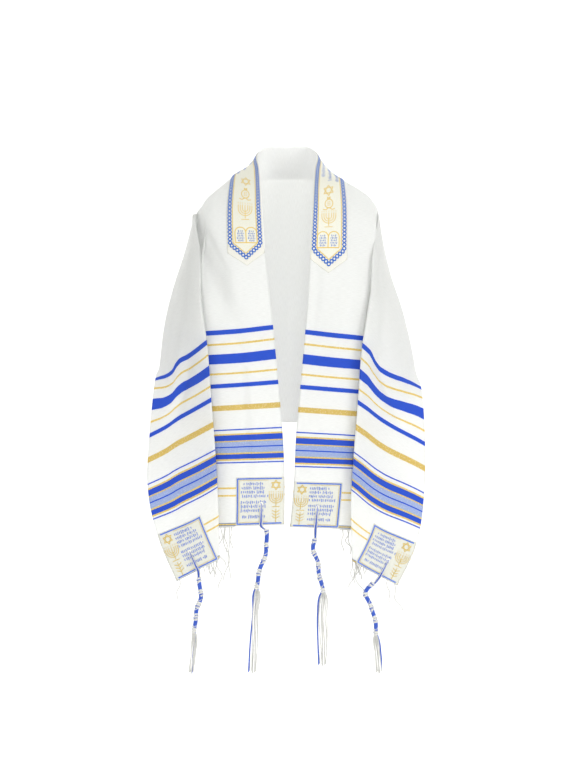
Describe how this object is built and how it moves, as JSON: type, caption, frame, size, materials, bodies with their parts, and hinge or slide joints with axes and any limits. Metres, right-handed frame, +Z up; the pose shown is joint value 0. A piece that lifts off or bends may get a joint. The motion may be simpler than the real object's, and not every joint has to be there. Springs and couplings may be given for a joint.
{
  "type": "tallit prayer shawl",
  "caption": "Rectangular striped prayer shawl worn open over the shoulders, with a ribbon neckband, corner patches, knotted corner tassels and a sparse hem fringe.",
  "frame": {"origin": "middle of the wearer's neck, level with the neck's base where the shawl rests on the shoulders", "axes": "+Z up along the wearer's back, -Y towards the front opening, +X to the right as seen from in front"},
  "size_m": [0.5775, 0.2668, 1.1017],
  "materials": {
    "cloth": "white plain weave with woven blue and gold stripes",
    "backing": "cream woven lining",
    "ribbon": "cream ribbon with blue and gold weaving",
    "patch": "cream woven square with a blue border",
    "tzitzit": "blue and white twisted thread",
    "fringe": "white twisted thread"
  },
  "bodies": {
    "root": {"shawl_cloth": "cloth", "neckband_backing": "backing", "neckband_ribbon": "ribbon", "corner_patch_inner_left": "patch", "corner_patch_inner_right": "patch", "corner_patch_outer_left": "patch", "corner_patch_outer_right": "patch", "tzitzit_inner_left": "tzitzit", "tzitzit_inner_right": "tzitzit", "tzitzit_outer_left": "tzitzit", "tzitzit_outer_right": "tzitzit", "hem_fringe_left": "fringe", "hem_fringe_right": "fringe"}
  },
  "joints": []
}
